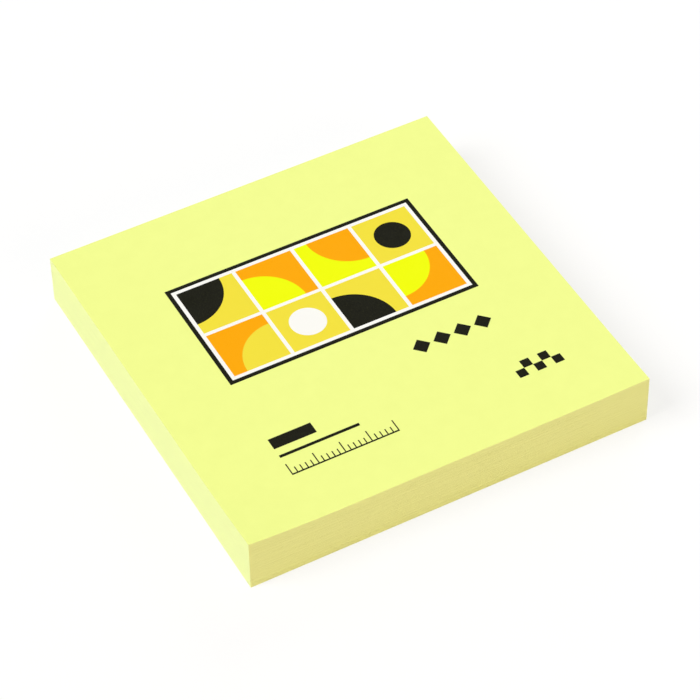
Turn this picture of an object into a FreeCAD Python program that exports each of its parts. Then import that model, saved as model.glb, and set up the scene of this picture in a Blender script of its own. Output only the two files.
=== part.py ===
"""A square pad of sticky notes lying flat, with its printed cover sheet uppermost.

The frame: +X is the reading direction of the cover's print, +Y runs from the front edge to the
bound edge, +Z is up, and the origin is the centre of the face that the pad rests on.
Lengths are in millimetres.
"""
import FreeCAD, Part
import Sketcher
import os

SIZES = [
    ("pad_width", 76.0, "side to side, as the print is read"),
    ("pad_depth", 76.0, "front edge to bound edge"),
    ("sheet_count", 100, "notes in the pad, without the cover sheet"),
    ("leaf_thickness", 0.0925, "paper of one note"),
    ("adhesive_thickness", 0.006, "adhesive coat, and so the air gap beside it"),
    ("adhesive_width", 19.0, "adhesive band, away from the bound edge"),
    ("adhesive_inset", 1.0, "bare paper between the band and the cut edges"),
    ("cover_thickness", 0.1, "paper of the printed cover sheet"),
    ("ink_thickness", 0.02, "printed ink, standing on the cover sheet"),
    ("tile_side", 10.8, "one square tile of the printed band"),
    ("tile_line", 0.7, "white line between the tiles and round them"),
    ("frame_line", 0.8, "black line round the band"),
    ("band_drop", 30.0, "bound edge to the middle of the band"),
    ("quarter_radius", 8.3, "quarter discs in the tiles"),
    ("disc_radius", 3.3, "whole discs in the tiles"),
    ("diamond_side", 2.4, "small diamonds under the band"),
    ("diamond_pitch", 4.0, "one diamond's middle to the next"),
    ("diamond_drop", 50.4, "bound edge to the middle of the diamonds"),
    ("diamond_margin", 17.6, "right edge to the middle of the last diamond"),
    ("scale_margin", 13.5, "left edge to the measuring scale and the bars over it"),
    ("scale_rise", 10.4, "front edge to the underside of the scale's base line"),
    ("scale_line", 0.3, "height of the scale's base line"),
    ("tick_width", 0.2, "one tick of the scale"),
    ("tick_pitch", 1.0, "one tick to the next"),
    ("short_tick", 1.2, "height of a plain tick over the base line"),
    ("long_tick", 2.4, "height of every fifth tick over the base line"),
    ("thin_bar_width", 15.0, "lower bar over the scale"),
    ("thin_bar_height", 0.6, "lower bar over the scale"),
    ("thick_bar_width", 8.0, "upper bar over the scale"),
    ("thick_bar_height", 2.4, "upper bar over the scale"),
    ("bar_gap", 1.6, "long ticks to the thin bar, and thin bar to thick bar"),
    ("check_side", 1.75, "one square of the chequered strip"),
    ("check_margin", 10.0, "right edge to the chequered strip"),
    ("check_rise", 10.9, "front edge to the chequered strip"),
]
TILE_COLUMNS = 4
TILE_ROWS = 2
DIAMOND_COUNT = 4
TICK_COUNT = 21
TICKS_TO_A_LONG_ONE = 5
CHECK_COLUMNS = 5
CHECK_ROWS = 2
INKS = ("amber", "orange", "yellow", "black", "white")

# Each tile's ground ink, its figure's ink, and the corner that its quarter disc is centred on, or
# middle for a whole disc. Columns are counted from the left and rows from the front edge.
TILES = {
    (0, 1): ("amber", "black", "high_left"),
    (1, 1): ("orange", "yellow", "low_left"),
    (2, 1): ("yellow", "orange", "high_right"),
    (3, 1): ("amber", "black", "middle"),
    (0, 0): ("orange", "amber", "low_right"),
    (1, 0): ("amber", "white", "middle"),
    (2, 0): ("amber", "black", "low_left"),
    (3, 0): ("orange", "yellow", "high_left"),
}
# How far each figure's centre lies across and along its tile, and the angle that it is turned by.
FIGURE_CENTRES = {
    "low_left": ("0", "0"),
    "low_right": ("sizes.tile_side", "0"),
    "high_right": ("sizes.tile_side", "sizes.tile_side"),
    "high_left": ("0", "sizes.tile_side"),
    "middle": ("sizes.tile_side / 2", "sizes.tile_side / 2"),
}
FIGURE_ANGLES = {"low_left": 0, "low_right": 90, "high_right": 180, "high_left": 270, "middle": 0}
QUARTER_DISC = 90  # degrees of a circle
WHOLE_DISC = 360
ON_ITS_CORNER = 45  # degrees that turn a square into a diamond
UP = FreeCAD.Vector(0, 0, 1)
ROUGH_SIDE = 2.0  # a rectangle's side as first drawn, before its own sizes are bound

# Places and totals that follow from the sizes.
LEFT_EDGE = "-sizes.pad_width / 2"
RIGHT_EDGE = "sizes.pad_width / 2"
FRONT_EDGE = "-sizes.pad_depth / 2"
BOUND_EDGE = "sizes.pad_depth / 2"
LEAF_PITCH = "(sizes.leaf_thickness + sizes.adhesive_thickness)"
STACK_TOP = f"sizes.sheet_count * {LEAF_PITCH}"
COVER_TOP = f"{STACK_TOP} + sizes.cover_thickness"
TILE_PITCH = "(sizes.tile_side + sizes.tile_line)"
BAND_WIDTH = f"({TILE_COLUMNS} * {TILE_PITCH} + sizes.tile_line)"
BAND_HEIGHT = f"({TILE_ROWS} * {TILE_PITCH} + sizes.tile_line)"
BAND_LEFT = f"-{BAND_WIDTH} / 2"
BAND_FRONT = f"{BOUND_EDGE} - sizes.band_drop - {BAND_HEIGHT} / 2"

doc = FreeCAD.newDocument("sticky_note_pad")


def write_sizes():
    """Writes the driving dimensions into the document's sheet, one alias each."""
    sheet = doc.addObject("Spreadsheet::Sheet", "sizes")
    for row, (alias, value, meaning) in enumerate(SIZES, start=1):
        sheet.set(f"A{row}", alias)
        sheet.set(f"B{row}", str(value))
        sheet.set(f"C{row}", meaning)
        sheet.setAlias(f"B{row}", alias)
    doc.recompute()


def origin_feature(body, role):
    """The body's own plane or axis that has this role, such as XY_Plane."""
    return next(item for item in body.Origin.OriginFeatures if item.Role == role)


def rectangle_sketch(body, name, width, depth, far_edge, lift="0"):
    """A rectangle centred on the YZ plane, whose far side lies far_edge along +Y."""
    sketch = body.newObject("Sketcher::SketchObject", name)
    sketch.AttachmentSupport = [(origin_feature(body, "XY_Plane"), "")]
    sketch.MapMode = "FlatFace"
    sketch.setExpression("AttachmentOffset.Base.z", lift)
    half = ROUGH_SIDE / 2
    corners = [FreeCAD.Vector(x * half, y * half, 0) for x, y in ((-1, -1), (1, -1), (1, 1), (-1, 1))]
    for here, there in zip(corners, corners[1:] + corners[:1]):
        sketch.addGeometry(Part.LineSegment(here, there))
    front, right, back, left = range(4)
    start, end = 1, 2
    origin, upright_axis = -1, -2
    for line, following in ((front, right), (right, back), (back, left), (left, front)):
        sketch.addConstraint(Sketcher.Constraint("Coincident", line, end, following, start))
    for line in (right, left):
        sketch.addConstraint(Sketcher.Constraint("Vertical", line))
    sketch.addConstraint(Sketcher.Constraint("Horizontal", back))
    sketch.addConstraint(Sketcher.Constraint("Symmetric", front, start, front, end, upright_axis))
    spans = (
        (Sketcher.Constraint("DistanceX", front, start, front, end, ROUGH_SIDE), width),
        (Sketcher.Constraint("DistanceY", right, start, right, end, ROUGH_SIDE), depth),
        (Sketcher.Constraint("DistanceY", origin, start, back, start, half), far_edge),
    )
    for constraint, size in spans:
        index = sketch.addConstraint(constraint)
        sketch.setExpression(f"Constraints[{index}]", size)
    return sketch


def raise_sketch(body, name, sketch, thickness):
    """The sketch's outline as a solid, raised along +Z by a thickness."""
    feature = body.newObject("PartDesign::Pad", name)
    feature.Profile = sketch
    feature.setExpression("Length", thickness)
    sketch.Visibility = False
    return feature


def make_note_sheets():
    """One leaf with its adhesive band, repeated upwards into the whole stack."""
    body = doc.addObject("PartDesign::Body", "note_sheets")
    body.Label = "note_sheets"
    outline = rectangle_sketch(
        body, "leaf_outline", "sizes.pad_width", "sizes.pad_depth", BOUND_EDGE
    )
    leaf = raise_sketch(body, "leaf", outline, "sizes.leaf_thickness")
    band_outline = rectangle_sketch(
        body,
        "adhesive_outline",
        "sizes.pad_width - 2 * sizes.adhesive_inset",
        "sizes.adhesive_width",
        f"{BOUND_EDGE} - sizes.adhesive_inset",
        lift="sizes.leaf_thickness",
    )
    band = raise_sketch(body, "adhesive_band", band_outline, "sizes.adhesive_thickness")
    doc.recompute()
    stack = body.newObject("PartDesign::LinearPattern", "stack")
    stack.Originals = [leaf, band]
    stack.Direction = (origin_feature(body, "Z_Axis"), [""])
    stack.setExpression("Length", f"(sizes.sheet_count - 1) * {LEAF_PITCH}")
    stack.setExpression("Occurrences", "sizes.sheet_count")
    body.Tip = stack
    return body


def make_cover_sheet():
    """The printed leaf, held by the topmost adhesive band."""
    body = doc.addObject("PartDesign::Body", "cover_sheet")
    body.Label = "cover_sheet"
    outline = rectangle_sketch(
        body, "cover_outline", "sizes.pad_width", "sizes.pad_depth", BOUND_EDGE
    )
    raise_sketch(body, "cover", outline, "sizes.cover_thickness")
    body.setExpression("Placement.Base.z", STACK_TOP)
    return body


def place(piece, x, y, turn=0):
    """Puts a piece's own corner or centre at x and y, turned about +Z by a number of degrees."""
    piece.Placement = FreeCAD.Placement(FreeCAD.Vector(), FreeCAD.Rotation(UP, turn))
    piece.setExpression("Placement.Base.x", x)
    piece.setExpression("Placement.Base.y", y)


def ink_rectangle(name, width, height, x, y, turn=0):
    """A rectangle of ink with one corner at x and y."""
    piece = doc.addObject("Part::Box", name)
    piece.setExpression("Length", width)
    piece.setExpression("Width", height)
    piece.setExpression("Height", "sizes.ink_thickness")
    place(piece, x, y, turn)
    return piece


def ink_sector(name, radius, sweep, x, y, turn=0):
    """A disc of ink centred at x and y, or the part of it that a sweep in degrees leaves."""
    piece = doc.addObject("Part::Cylinder", name)
    piece.setExpression("Radius", radius)
    piece.setExpression("Height", "sizes.ink_thickness")
    piece.Angle = sweep
    place(piece, x, y, turn)
    return piece


def ink_without(name, base, tool):
    """A piece of ink with the shape of another piece left out of it."""
    piece = doc.addObject("Part::Cut", name)
    piece.Base = base
    piece.Tool = tool
    return piece


def print_tile(column, row, fields):
    """One square tile, a figure in one ink on a ground in another. Returns its whole square."""
    ground_ink, figure_ink, corner = TILES[column, row]
    across, along = FIGURE_CENTRES[corner]
    label = f"{column}_{row}"
    left = f"{BAND_LEFT} + sizes.tile_line + {column} * {TILE_PITCH}"
    front = f"{BAND_FRONT} + sizes.tile_line + {row} * {TILE_PITCH}"
    square = ink_rectangle(f"tile_{label}", "sizes.tile_side", "sizes.tile_side", left, front)
    radius = "sizes.quarter_radius"
    sweep = QUARTER_DISC
    if corner == "middle":
        radius = "sizes.disc_radius"
        sweep = WHOLE_DISC
    x = f"{left} + {across}"
    y = f"{front} + {along}"
    figure = ink_sector(f"figure_{label}", radius, sweep, x, y, FIGURE_ANGLES[corner])
    fields[ground_ink].append(ink_without(f"ground_{label}", square, figure))
    fields[figure_ink].append(figure)
    return square


def print_band(fields):
    """The tiles, the white lines between and round them, and the black frame."""
    squares = [
        print_tile(column, row, fields) for row in range(TILE_ROWS) for column in range(TILE_COLUMNS)
    ]
    tiles = doc.addObject("Part::Compound", "tiles")
    tiles.Links = squares
    sheet = ink_rectangle("band_ground", BAND_WIDTH, BAND_HEIGHT, BAND_LEFT, BAND_FRONT)
    fields["white"].append(ink_without("tile_lines", sheet, tiles))
    outer = ink_rectangle(
        "frame_ground",
        f"{BAND_WIDTH} + 2 * sizes.frame_line",
        f"{BAND_HEIGHT} + 2 * sizes.frame_line",
        f"{BAND_LEFT} - sizes.frame_line",
        f"{BAND_FRONT} - sizes.frame_line",
    )
    fields["black"].append(ink_without("frame", outer, sheet))


def print_diamonds(fields):
    """A row of small squares standing on their corners, under the right half of the band."""
    side = "sizes.diamond_side"
    half_diagonal = f"{side} * sqrt(2) / 2"
    y = f"{BOUND_EDGE} - sizes.diamond_drop - {half_diagonal}"
    for index in range(DIAMOND_COUNT):
        x = f"{RIGHT_EDGE} - sizes.diamond_margin - {index} * sizes.diamond_pitch"
        diamond = ink_rectangle(f"diamond_{index}", side, side, x, y, ON_ITS_CORNER)
        fields["black"].append(diamond)


def print_scale(fields):
    """A measuring scale with its ticks upwards, and two plain bars over it."""
    left = f"{LEFT_EDGE} + sizes.scale_margin"
    front = f"{FRONT_EDGE} + sizes.scale_rise"
    length = f"{TICK_COUNT - 1} * sizes.tick_pitch + sizes.tick_width"
    marks = [ink_rectangle("scale_line", length, "sizes.scale_line", left, front)]
    for index in range(TICK_COUNT):
        tick = "sizes.short_tick"
        if index % TICKS_TO_A_LONG_ONE == 0:
            tick = "sizes.long_tick"
        x = f"{left} + {index} * sizes.tick_pitch"
        height = f"sizes.scale_line + {tick}"
        marks.append(ink_rectangle(f"tick_{index}", "sizes.tick_width", height, x, front))
    scale = doc.addObject("Part::MultiFuse", "scale")
    scale.Shapes = marks
    scale.Refine = True
    thin_front = f"{front} + sizes.scale_line + sizes.long_tick + sizes.bar_gap"
    thick_front = f"{thin_front} + sizes.thin_bar_height + sizes.bar_gap"
    thin = ink_rectangle(
        "thin_bar", "sizes.thin_bar_width", "sizes.thin_bar_height", left, thin_front
    )
    thick = ink_rectangle(
        "thick_bar", "sizes.thick_bar_width", "sizes.thick_bar_height", left, thick_front
    )
    fields["black"] += [scale, thin, thick]


def print_checks(fields):
    """A small chequered strip near the right front corner."""
    side = "sizes.check_side"
    for row in range(CHECK_ROWS):
        for column in range(CHECK_COLUMNS):
            if (row + column) % 2:
                continue
            x = f"{RIGHT_EDGE} - sizes.check_margin - ({CHECK_COLUMNS} - {column}) * {side}"
            y = f"{FRONT_EDGE} + sizes.check_rise + {row} * {side}"
            fields["black"].append(ink_rectangle(f"check_{row}_{column}", side, side, x, y))


def make_cover_print():
    """All ink of one colour is one sub-part, lying on the cover sheet."""
    fields = {ink: [] for ink in INKS}
    print_band(fields)
    print_diamonds(fields)
    print_scale(fields)
    print_checks(fields)
    prints = []
    for ink, pieces in fields.items():
        layer = doc.addObject("Part::Compound", f"cover_print_{ink}")
        layer.Label = f"cover_print_{ink}"
        layer.Links = pieces
        layer.setExpression("Placement.Base.z", COVER_TOP)
        prints.append(layer)
    return prints


def check_document(subparts):
    """Stops before anything is written if an object failed or a sub-part isn't sound."""
    for item in doc.Objects:
        if {"Invalid", "Error"} & set(item.State):
            raise RuntimeError(f"{item.Label} failed: {item.State}")
    for subpart in subparts:
        if subpart.Shape.isNull() or not subpart.Shape.isValid():
            raise RuntimeError(f"{subpart.Label} has no sound shape")


def main():
    write_sizes()
    subparts = [make_note_sheets(), make_cover_sheet()]
    subparts += make_cover_print()
    doc.recompute()
    check_document(subparts)
    os.makedirs("parts", exist_ok=True)
    for subpart in subparts:
        subpart.Shape.exportStep(f"parts/{subpart.Label}.step")
        box = subpart.Shape.BoundBox
        print(
            f"{subpart.Label}: {len(subpart.Shape.Solids)} solid(s), "
            f"{subpart.Shape.Volume:.3f} mm3, z {box.ZMin:.4f} to {box.ZMax:.4f}"
        )


main()
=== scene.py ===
"""The looks of a sticky note pad: its paper, its print, the studio light and the camera.

Lengths are in metres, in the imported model's own frame: +X is the reading direction of the
cover's print, +Y runs to the bound edge and +Z is up.
"""
import math
import random
from typing import NamedTuple

import bmesh
import bpy
from mathutils import Matrix, Vector


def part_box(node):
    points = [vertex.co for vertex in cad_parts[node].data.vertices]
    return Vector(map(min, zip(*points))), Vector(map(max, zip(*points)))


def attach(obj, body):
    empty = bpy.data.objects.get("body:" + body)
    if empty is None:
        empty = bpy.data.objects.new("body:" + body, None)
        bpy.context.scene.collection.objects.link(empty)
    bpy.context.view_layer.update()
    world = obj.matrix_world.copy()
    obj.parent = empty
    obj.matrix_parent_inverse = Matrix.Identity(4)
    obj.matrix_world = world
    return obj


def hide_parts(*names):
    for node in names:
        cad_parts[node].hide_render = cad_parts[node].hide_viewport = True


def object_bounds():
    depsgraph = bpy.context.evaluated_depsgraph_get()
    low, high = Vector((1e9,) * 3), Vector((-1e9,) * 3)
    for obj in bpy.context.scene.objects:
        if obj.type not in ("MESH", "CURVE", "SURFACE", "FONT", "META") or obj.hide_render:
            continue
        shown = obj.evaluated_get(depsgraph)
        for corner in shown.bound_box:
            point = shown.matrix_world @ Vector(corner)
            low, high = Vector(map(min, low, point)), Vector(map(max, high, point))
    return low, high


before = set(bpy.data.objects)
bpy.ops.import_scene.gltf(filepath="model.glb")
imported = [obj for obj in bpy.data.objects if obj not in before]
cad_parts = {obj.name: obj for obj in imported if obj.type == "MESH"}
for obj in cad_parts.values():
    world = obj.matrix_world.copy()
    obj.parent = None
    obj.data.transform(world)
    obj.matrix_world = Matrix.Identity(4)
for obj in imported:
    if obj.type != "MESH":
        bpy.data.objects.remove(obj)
CAD_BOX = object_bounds()
MM = 0.001


class Finish(NamedTuple):
    """How a surface takes the light."""

    smoothest: float
    roughest: float
    bump_height: float
    bump_strength: float
    specular: float


# The stack of notes
SHEET_COUNT = 100
AIR_GAP = 0.006 * MM
ADHESIVE_WIDTH = 19.0 * MM
ADHESIVE_INSET = 1.0 * MM

# The cut edge of a leaf, which strays a little from straight
SHIFT = 0.012 * MM
WAVE_HEIGHT = 0.006 * MM
FLATTEST_WAVE = 0.3  # as a share of WAVE_HEIGHT
WAVE_LENGTH = 21.0 * MM
SIDE_STEPS = 20
SEED = 7

# The free corners, at the front, where the leaves have come up a little
LEFT_LIFT = 0.75 * MM
RIGHT_LIFT = 0.20 * MM
FOLDS = 5  # folds across each corner, one at each step of a leaf's outline
FOLD_MARGIN = 0.03 * MM  # more than a leaf's edge strays from its step

# Linear colours
WHITE = (1.0, 1.0, 1.0)
NOTE_PAPER = (0.892, 0.957, 0.452)
NOTE_DEEP = (0.874, 0.941, 0.438)
COVER_PAPER = (0.838, 0.936, 0.284)
COVER_DEEP = (0.818, 0.916, 0.273)
# The cover's cut edge: paler for its cut fibres, and partly a painted highlight where the edge catches
# the light
COVER_CUT_EDGE_AND_HIGHLIGHT = (0.930, 0.960, 0.480)
INK_COLOURS = {
    "amber": (0.840, 0.722, 0.050),
    "orange": (0.915, 0.382, 0.001),
    "yellow": (0.825, 0.935, 0.002),
    "black": (0.006, 0.006, 0.004),
    "white": (0.900, 0.915, 0.905),
}
INK_WEAR = 0.03  # how far the paper shows through the ink on the highest fibres
INK_WEAR_CURVE = 3.0  # the higher, the more the wear keeps to those fibres

# The finishes of paper and ink
NOTE_FINISH = Finish(
    smoothest=0.80, roughest=0.95, bump_height=0.020 * MM, bump_strength=0.35, specular=0.15
)
COVER_FINISH = Finish(
    smoothest=0.72, roughest=0.88, bump_height=0.015 * MM, bump_strength=0.70, specular=0.25
)
INK_FINISH = Finish(
    smoothest=0.60, roughest=0.74, bump_height=0.012 * MM, bump_strength=0.60, specular=0.04
)

# The grain of the cover, with scales in features a metre
CLOUD_SCALE = 350.0
CLOUD_DETAIL = 3.0
CLOUD_LOW = 0.3
CLOUD_HIGH = 0.7
CLOUD_SHARE = 0.7  # of the paper's shade, the fibres giving the rest
FIBRE_SCALE = 5200.0
FIBRE_STRETCH = (1.0, 0.45, 1.0)
FIBRE_DETAIL = 4.0
UPRIGHT = 0.5  # a face whose normal rises less than this is a cut edge, coloured paler: cut fibres and a painted highlight

# The grain of the notes' cut edges, with scales in features a metre
LEAF_SCALES = (12.0, 12.0, 9000.0)
LEAF_DETAIL = 1.0
BUNDLE_SCALES = (6.0, 6.0, 900.0)
BUNDLE_DETAIL = 2.0
LEAF_SHARE = 0.5  # of the paper's shade, the bundles giving the rest
CUT_FIBRE_SCALE = 9000.0
CUT_FIBRE_DETAIL = 3.0

# The camera, as the photograph was taken, with angles in degrees
PHOTO_PIXELS = 700
LENS_PIXELS = 3150  # the focal length in the photograph's pixels
SENSOR_WIDTH = 36.0  # in millimetres, as Blender has it
CAMERA_AZIMUTH = -27.77  # to the right of the pad's front
CAMERA_ELEVATION = 46.20
CAMERA_ROLL = -1.12
CAMERA_DISTANCE = 545.2 * MM
AIM_HEIGHT = 4.75 * MM  # above the floor, over the middle of the pad
AIM_RIGHT = 1.03 * MM  # from there, as the camera sees it
AIM_UP = -1.92 * MM

# Light. A level of 1 shows a surface that faces the lamp in its own colour.
LAMPS = {
    "key": {"level": 0.94, "colour": WHITE, "direction": (-0.70, 0.10, 0.70), "softness": 35.0},
    "fill": {
        "level": 0.595,
        "colour": (1.0, 0.78, 0.455),
        "direction": (0.25, -0.93, 0.25),
        "softness": 40.0,
    },
    "back": {"level": 0.45, "colour": WHITE, "direction": (0.68, 0.68, 0.27), "softness": 40.0},
}
SKY_LEVEL = 0.15
FLOOR_BOUNCE = (0.5, 0.5, 0.5)
FLOOR_SIZE = 6.0
SHADOW_SHOWN = 0.22  # how much of the pad's shadow the camera sees


def mesh_piece(name, vertices, faces, material):
    """A mesh object with these corners and faces, linked to the scene."""
    mesh = bpy.data.meshes.new(name)
    mesh.from_pydata(vertices, [], faces)
    mesh.validate()
    mesh.materials.append(material)
    piece = bpy.data.objects.new(name, mesh)
    bpy.context.scene.collection.objects.link(piece)
    return piece


class Nodes:
    """A short way to build a material's or the world's node tree."""

    def __init__(self, owner):
        owner.use_nodes = True
        self.tree = owner.node_tree
        self.tree.nodes.clear()

    def add(self, kind, inputs=None, **settings):
        """Adds a node, with its settings and its inputs, each a value or another node's output."""
        node = self.tree.nodes.new(kind)
        for name, value in settings.items():
            setattr(node, name, value)
        for name, value in (inputs or {}).items():
            self.put(node.inputs[name], value)
        return node

    def put(self, socket, value):
        """Links an output to a socket, or sets the socket's own value."""
        if isinstance(value, bpy.types.NodeSocket):
            self.tree.links.new(value, socket)
        elif socket.type == "RGBA":
            socket.default_value = (*value, 1.0)
        else:
            socket.default_value = value

    def math(self, operation, first, second=0.0):
        """The result of a sum on one or two numbers."""
        node = self.add("ShaderNodeMath", operation=operation)
        self.put(node.inputs[0], first)
        self.put(node.inputs[1], second)
        return node.outputs[0]

    def between(self, share, low, high):
        """The number that lies this share of the way from low to high."""
        return self.math("ADD", low, self.math("MULTIPLY", share, high - low))

    def weigh(self, first, first_share, second):
        """Two numbers added up by their shares, which make 1 together."""
        return self.math(
            "ADD",
            self.math("MULTIPLY", first, first_share),
            self.math("MULTIPLY", second, 1.0 - first_share),
        )

    def spread(self, value, low, high):
        """A value with low brought to 0 and high brought to 1."""
        ends = {"Value": value, "From Min": low, "From Max": high}
        return self.add("ShaderNodeMapRange", ends).outputs["Result"]

    def noise(self, scale=1.0, stretch=(1.0, 1.0, 1.0), detail=2.0):
        """A noise over the object, where scale is in features a metre and stretch is by axis."""
        place = self.add("ShaderNodeTexCoord").outputs["Object"]
        mapping = self.add("ShaderNodeMapping", {"Vector": place, "Scale": stretch})
        return self.add(
            "ShaderNodeTexNoise",
            {"Vector": mapping.outputs["Vector"], "Scale": scale, "Detail": detail},
        ).outputs["Fac"]

    def mix(self, share, first, second):
        """A colour between two colours."""
        ends = {"Factor": share, "A": first, "B": second}
        return self.add("ShaderNodeMix", ends, data_type="RGBA").outputs["Result"]

    def shader(self, kind, inputs):
        """The output of a shader node."""
        return self.add(kind, inputs).outputs[0]

    def mix_shaders(self, share, first, second):
        """A shader between two shaders."""
        node = self.add("ShaderNodeMixShader", {"Fac": share})
        self.put(node.inputs[1], first)
        self.put(node.inputs[2], second)
        return node.outputs["Shader"]

    def surface(self, colour, texture, height, finish):
        """The shader and the output, with its roughness from a texture and its bump from a height."""
        bump = self.add(
            "ShaderNodeBump",
            {
                "Height": height,
                "Distance": finish.bump_height,
                "Strength": finish.bump_strength,
            },
        )
        shader = self.shader(
            "ShaderNodeBsdfPrincipled",
            {
                "Base Color": colour,
                "Roughness": self.between(texture, finish.smoothest, finish.roughest),
                "Specular IOR Level": finish.specular,
                "Normal": bump.outputs["Normal"],
            },
        )
        self.add("ShaderNodeOutputMaterial", {"Surface": shader})


def paper_grain(nodes):
    """Cloudy formation of the sheet and its fine fibres, each from 0 to 1."""
    cloud = nodes.spread(nodes.noise(CLOUD_SCALE, detail=CLOUD_DETAIL), CLOUD_LOW, CLOUD_HIGH)
    fibre = nodes.noise(FIBRE_SCALE, FIBRE_STRETCH, FIBRE_DETAIL)
    return cloud, fibre


def note_material():
    """Pale yellow note paper seen at its cut edges, each leaf a shade of its own."""
    material = bpy.data.materials.new("note_paper")
    nodes = Nodes(material)
    leaf = nodes.noise(stretch=LEAF_SCALES, detail=LEAF_DETAIL)
    bundle = nodes.noise(stretch=BUNDLE_SCALES, detail=BUNDLE_DETAIL)
    fibre = nodes.noise(CUT_FIBRE_SCALE, detail=CUT_FIBRE_DETAIL)
    colour = nodes.mix(nodes.weigh(leaf, LEAF_SHARE, bundle), NOTE_DEEP, NOTE_PAPER)
    nodes.surface(colour, fibre, fibre, NOTE_FINISH)
    return material


def cover_material():
    """The cover's paper, cloudy and slightly fibrous, and paler at its cut edge: cut fibres and a
    painted highlight.
    """
    material = bpy.data.materials.new("cover_paper")
    nodes = Nodes(material)
    cloud, fibre = paper_grain(nodes)
    face = nodes.mix(nodes.weigh(cloud, CLOUD_SHARE, fibre), COVER_DEEP, COVER_PAPER)
    normal = nodes.add("ShaderNodeNewGeometry").outputs["Normal"]
    upward = nodes.add("ShaderNodeSeparateXYZ", {"Vector": normal}).outputs["Z"]
    # upright faces take the paler edge colour, which is partly a painted highlight
    cut_edge_and_highlight = nodes.math("LESS_THAN", nodes.math("ABSOLUTE", upward), UPRIGHT)
    nodes.surface(nodes.mix(cut_edge_and_highlight, face, COVER_CUT_EDGE_AND_HIGHLIGHT), fibre, fibre, COVER_FINISH)
    return material


def ink_material(name, ink):
    """Matt ink that has sunk into the paper, so that the fibres still show in it."""
    material = bpy.data.materials.new(name)
    nodes = Nodes(material)
    cloud, fibre = paper_grain(nodes)
    worn = tuple(value + INK_WEAR * (paper - value) for value, paper in zip(ink, COVER_PAPER))
    colour = nodes.mix(nodes.math("POWER", fibre, INK_WEAR_CURVE), ink, worn)
    nodes.surface(colour, cloud, fibre, INK_FINISH)
    return material


def rectangle(left, front, right, back):
    """The corners of a rectangle, anticlockwise from above."""
    return [Vector(corner) for corner in ((left, front), (right, front), (right, back), (left, back))]


def one_on(ring):
    """The same ring, starting at its second corner."""
    return ring[1:] + ring[:1]


def leaf_outline(low, high, draw):
    """The cut edge of one leaf, with its small shift and waves, as corners going round."""
    shift = Vector((draw.uniform(-SHIFT, SHIFT), draw.uniform(-SHIFT, SHIFT)))
    corners = rectangle(low.x, low.y, high.x, high.y)
    points = []
    for start, end in zip(corners, one_on(corners)):
        along = (end - start).normalized()
        outward = Vector((along.y, -along.x))
        phase = draw.uniform(0.0, 2.0 * math.pi)
        height = draw.uniform(FLATTEST_WAVE, 1.0) * WAVE_HEIGHT
        for step in range(SIDE_STEPS):
            spot = start.lerp(end, step / SIDE_STEPS)
            wave = math.sin(2.0 * math.pi * (spot - start).length / WAVE_LENGTH + phase)
            fade = math.sin(math.pi * step / SIDE_STEPS)
            points.append(spot + shift + outward * height * wave * fade)
    return points


def add_ring(vertices, outline, height):
    """Adds an outline's corners at a height and returns their numbers."""
    first = len(vertices)
    vertices += [(point.x, point.y, height) for point in outline]
    return list(range(first, len(vertices)))


def wall(lower, upper):
    """Upright faces, looking outwards, between two rings with as many corners."""
    return [list(face) for face in zip(lower, one_on(lower), one_on(upper), upper)]


def bare_paper(leaf, band):
    """The leaf's face round its adhesive band, with one part at each side, looking upwards."""
    parts = []
    for side, (band_start, band_end) in enumerate(zip(band, one_on(band))):
        start = side * SIDE_STEPS
        edge = (leaf + leaf[:1])[start:start + SIDE_STEPS + 1]
        parts.append(edge + [band_end, band_start])
    return parts


def looking_down(faces):
    """The same faces with their corners the other way round."""
    return [face[::-1] for face in faces]


def free_corners():
    """Each free corner of the pad, the way into the pad from it, and how far its top is lifted."""
    low, high = CAD_BOX
    return [
        (Vector((low.x, low.y, 0.0)), Vector((1.0, 1.0, 0.0)), LEFT_LIFT),
        (Vector((high.x, low.y, 0.0)), Vector((-1.0, 1.0, 0.0)), RIGHT_LIFT),
    ]


def lift_free_corners(piece):
    """Bends a piece up towards the free corners, on folds that run straight across each corner."""
    low, high = CAD_BOX
    fold_step = (high.x - low.x) / SIDE_STEPS
    shape = bmesh.new()
    shape.from_mesh(piece.data)
    for corner, inward, lift in free_corners():
        for fold in range(1, FOLDS + 1):
            bmesh.ops.bisect_plane(
                shape,
                geom=shape.verts[:] + shape.edges[:] + shape.faces[:],
                dist=FOLD_MARGIN,
                plane_co=corner + Vector((0.0, fold * fold_step, 0.0)),
                plane_no=inward,
            )
        for vertex in shape.verts:
            steps_in = (vertex.co - corner).dot(inward) / fold_step
            share = max(0.0, 1.0 - steps_in / FOLDS)
            vertex.co.z += lift * share**2 * vertex.co.z / high.z
    shape.to_mesh(piece.data)
    shape.free()


def make_note_stack(material):
    """Every leaf with its own slightly uneven cut edge, on the adhesive band of the one below."""
    low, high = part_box("note_sheets")
    pitch = (high.z - low.z) / SHEET_COUNT
    draw = random.Random(SEED)
    band = rectangle(
        low.x + ADHESIVE_INSET,
        high.y - ADHESIVE_INSET - ADHESIVE_WIDTH,
        high.x - ADHESIVE_INSET,
        high.y - ADHESIVE_INSET,
    )
    vertices = []
    faces = []
    band_below = None
    for sheet in range(SHEET_COUNT):
        bottom = low.z + sheet * pitch
        top = bottom + pitch - AIR_GAP
        outline = leaf_outline(low, high, draw)
        underside = add_ring(vertices, outline, bottom)
        face = add_ring(vertices, outline, top)
        band_foot = add_ring(vertices, band, top)
        band_head = add_ring(vertices, band, bottom + pitch)
        under_faces = bare_paper(underside, band_below) if band_below else [underside]
        faces += looking_down(under_faces)
        faces += wall(underside, face) + bare_paper(face, band_foot) + wall(band_foot, band_head)
        band_below = band_head
    faces.append(band_below)
    stack = mesh_piece("note_stack", vertices, faces, material)
    lift_free_corners(stack)
    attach(stack, "root")
    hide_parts("note_sheets")


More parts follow.
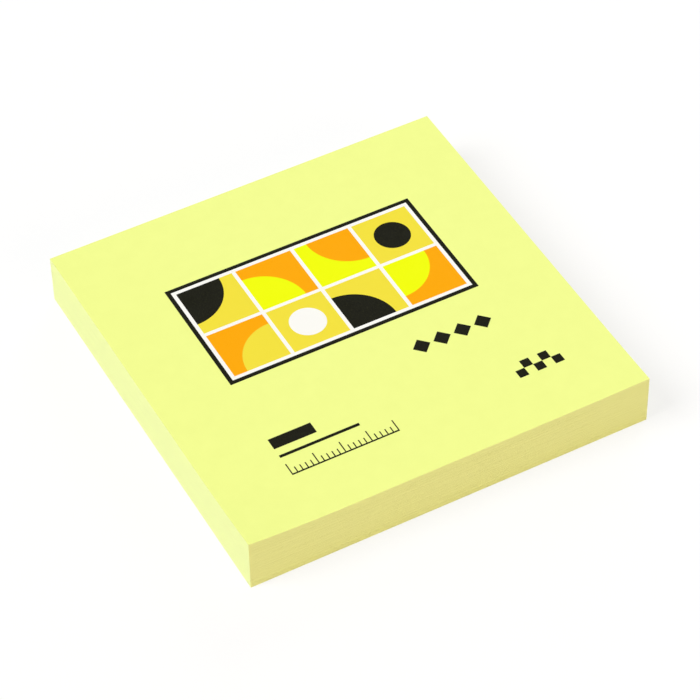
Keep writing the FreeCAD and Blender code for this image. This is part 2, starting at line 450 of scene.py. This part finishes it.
def make_cover(material):
    """The printed sheet, which follows the free corners of the leaves under it."""
    low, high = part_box("cover_sheet")
    outline = rectangle(low.x, low.y, high.x, high.y)
    vertices = []
    underside = add_ring(vertices, outline, low.z)
    face = add_ring(vertices, outline, high.z)
    faces = looking_down([underside]) + wall(underside, face) + [face]
    cover = mesh_piece("cover", vertices, faces, material)
    lift_free_corners(cover)
    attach(cover, "root")
    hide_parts("cover_sheet")


def dress_cad_node(name, material):
    """Gives a CAD node that stays its finished material."""
    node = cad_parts[name]
    node.data.materials.clear()
    node.data.materials.append(material)


def make_sun(name, level, colour, direction, softness):
    """A lamp far away in this direction, whose light falls evenly. Softness is its width in degrees."""
    light = bpy.data.lights.new(name, "SUN")
    light.energy = level * math.pi
    light.color = colour
    light.angle = math.radians(softness)
    lamp = bpy.data.objects.new(name, light)
    lamp.rotation_euler = Vector(direction).to_track_quat("Z", "Y").to_euler()
    bpy.context.scene.collection.objects.link(lamp)


def seen_directly(nodes):
    """1 where the camera, a mirror or a clear pane looks straight at the surface."""
    path = nodes.add("ShaderNodeLightPath").outputs
    seen = nodes.math("MAXIMUM", path["Is Camera Ray"], path["Is Glossy Ray"])
    return nodes.math("MAXIMUM", seen, path["Is Transmission Ray"])


def make_world():
    """White behind everything, and an even sky that lights the pad."""
    world = bpy.data.worlds.new("studio")
    bpy.context.scene.world = world
    nodes = Nodes(world)
    sky = nodes.shader("ShaderNodeBackground", {"Color": WHITE, "Strength": SKY_LEVEL})
    backdrop = nodes.shader("ShaderNodeBackground", {"Color": WHITE, "Strength": 1.0})
    either = nodes.mix_shaders(seen_directly(nodes), sky, backdrop)
    nodes.add("ShaderNodeOutputWorld", {"Surface": either})


def floor_material():
    """A white ground that keeps a soft shadow, and sends plain grey light back up to the pad."""
    material = bpy.data.materials.new("studio_floor")
    nodes = Nodes(material)
    white = nodes.shader("ShaderNodeEmission", {"Color": WHITE, "Strength": 1.0})
    shaded = nodes.shader("ShaderNodeBsdfDiffuse", {"Color": WHITE})
    ground = nodes.mix_shaders(SHADOW_SHOWN, white, shaded)
    bounce = nodes.shader("ShaderNodeBsdfDiffuse", {"Color": FLOOR_BOUNCE})
    either = nodes.mix_shaders(seen_directly(nodes), bounce, ground)
    nodes.add("ShaderNodeOutputMaterial", {"Surface": either})
    return material


def make_floor():
    """A wide floor that the pad lies on."""
    half = FLOOR_SIZE / 2
    vertices = []
    face = add_ring(vertices, rectangle(-half, -half, half, half), 0.0)
    floor = mesh_piece("floor", vertices, [face], floor_material())


def make_camera():
    """The photograph's viewpoint, looking just beside the middle of the pad."""
    azimuth = math.radians(CAMERA_AZIMUTH)
    elevation = math.radians(CAMERA_ELEVATION)
    back = Vector(
        (
            math.sin(azimuth) * math.cos(elevation),
            -math.cos(azimuth) * math.cos(elevation),
            math.sin(elevation),
        )
    )
    level_right = Vector((0.0, 0.0, 1.0)).cross(back).normalized()
    level_up = back.cross(level_right)
    roll = Matrix.Rotation(math.radians(CAMERA_ROLL), 3, back)
    right = roll @ level_right
    up = roll @ level_up
    data = bpy.data.cameras.new("camera")
    data.sensor_width = SENSOR_WIDTH
    data.lens = LENS_PIXELS * SENSOR_WIDTH / PHOTO_PIXELS
    camera = bpy.data.objects.new("camera", data)
    aim = Vector((0.0, 0.0, AIM_HEIGHT)) + AIM_RIGHT * right + AIM_UP * up
    turn = Matrix((right, up, back)).transposed().to_4x4()
    camera.matrix_world = Matrix.Translation(aim + CAMERA_DISTANCE * back) @ turn
    bpy.context.scene.collection.objects.link(camera)
    bpy.context.scene.camera = camera


make_camera()
make_world()
make_floor()
for lamp_name, lamp_settings in LAMPS.items():
    make_sun(lamp_name, **lamp_settings)
make_note_stack(note_material())
make_cover(cover_material())
for ink_name, ink_colour in INK_COLOURS.items():
    dress_cad_node(f"cover_print_{ink_name}", ink_material(f"ink_{ink_name}", ink_colour))

bpy.context.scene.view_settings.view_transform = "Standard"
